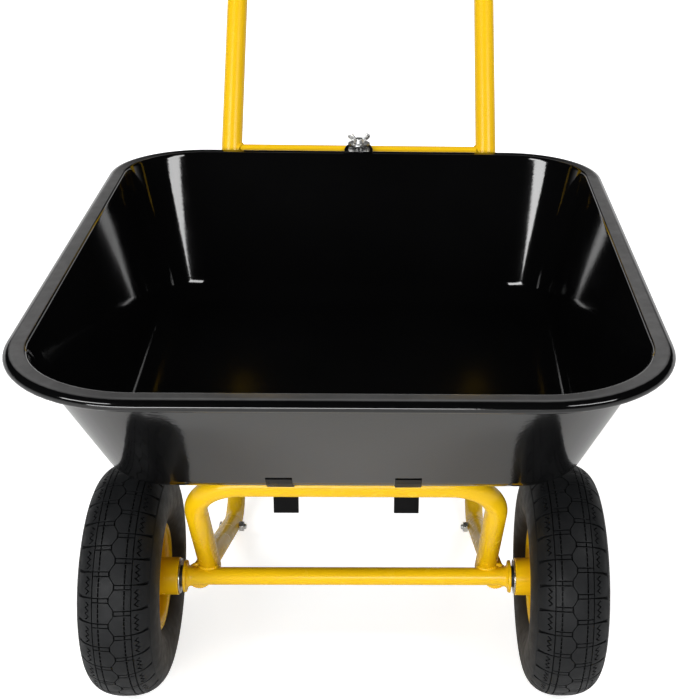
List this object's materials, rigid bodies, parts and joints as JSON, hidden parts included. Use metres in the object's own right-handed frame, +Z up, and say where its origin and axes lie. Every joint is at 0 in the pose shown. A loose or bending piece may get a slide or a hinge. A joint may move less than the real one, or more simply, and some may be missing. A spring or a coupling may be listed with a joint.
{
  "type": "dump cart",
  "caption": "Hand dump cart: a pressed steel tray that tips forward over its axle on a bent tube frame, with air-filled tyres and a leaning loop handle with a foam grip.",
  "frame": {"origin": "on the ground, in the middle of the cart's length and width", "axes": "+Z up, +Y towards the handle, +X to the right seen from the front, with the wheels at -Y"},
  "size_m": [0.6762, 1.1631, 0.95],
  "materials": {
    "yellow_paint": "gloss yellow paint on steel",
    "black_paint": "gloss black paint on pressed steel",
    "tyre_rubber": "black tyre rubber with moulded tread",
    "tube_rubber": "black rubber",
    "zinc_steel": "bright zinc plate",
    "black_plastic": "matte black plastic",
    "foam": "black foam rubber"
  },
  "bodies": {
    "frame": {"front_hoop": "yellow_paint", "axle_tube": "yellow_paint", "left_axle_flange": "yellow_paint", "right_axle_flange": "yellow_paint", "axle_rod": "zinc_steel", "axle_washers": "zinc_steel", "axle_nuts": "zinc_steel", "axle_spacers": "black_plastic", "left_rail": "yellow_paint", "right_rail": "yellow_paint", "left_leg": "yellow_paint", "right_leg": "yellow_paint", "leg_bolts": "zinc_steel", "leg_nuts": "zinc_steel", "handle_loop": "yellow_paint", "handle_bolts": "zinc_steel", "handle_nuts": "zinc_steel", "rear_crossbar": "yellow_paint", "handle_grip": "foam"},
    "tray": {"tray_shell": "black_paint", "left_tray_hook": "black_paint", "right_tray_hook": "black_paint", "latch_tab": "black_paint"},
    "latch_washer": {"latch_washer": "zinc_steel"},
    "wing_screw": {"wing_screw": "zinc_steel"},
    "left_wheel": {"left_tyre": "tyre_rubber", "left_inner_tube": "tube_rubber", "left_valve": "tube_rubber", "left_outer_rim": "yellow_paint", "left_inner_rim": "yellow_paint", "left_hub": "yellow_paint", "left_bearings": "zinc_steel", "left_bearing_cap": "zinc_steel", "left_rim_bolts": "zinc_steel", "left_rim_nuts": "zinc_steel"},
    "right_wheel": {"right_tyre": "tyre_rubber", "right_inner_tube": "tube_rubber", "right_valve": "tube_rubber", "right_outer_rim": "yellow_paint", "right_inner_rim": "yellow_paint", "right_hub": "yellow_paint", "right_bearings": "zinc_steel", "right_bearing_cap": "zinc_steel", "right_rim_bolts": "zinc_steel", "right_rim_nuts": "zinc_steel"}
  },
  "joints": [
    {"name": "tray_tip", "type": "hinge", "parent": "frame", "child": "tray", "pos_m": [0, -0.36457, 0.28405], "axis": [1, 0, 0], "range_deg": [0, 90]},
    {"name": "latch_washer_lift", "type": "slide", "parent": "tray", "child": "latch_washer", "axis": [0, 0, 1], "range_m": [0, 0.01]},
    {"name": "wing_screw_turn", "type": "hinge", "parent": "latch_washer", "child": "wing_screw", "pos_m": [0, 0.26843, 0.4946], "axis": [0, 0, 1], "range_deg": [0, 2882]},
    {"name": "left_wheel_spin", "type": "hinge", "parent": "frame", "child": "left_wheel", "pos_m": [-0.243, -0.30457, 0.13], "axis": [1, 0, 0], "continuous": true},
    {"name": "right_wheel_spin", "type": "hinge", "parent": "frame", "child": "right_wheel", "pos_m": [0.243, -0.30457, 0.13], "axis": [1, 0, 0], "continuous": true}
  ],
  "couplings": [
    {"joint": "wing_screw_turn", "follows": "latch_washer_lift", "rad_per_m": 5026.5}
  ]
}
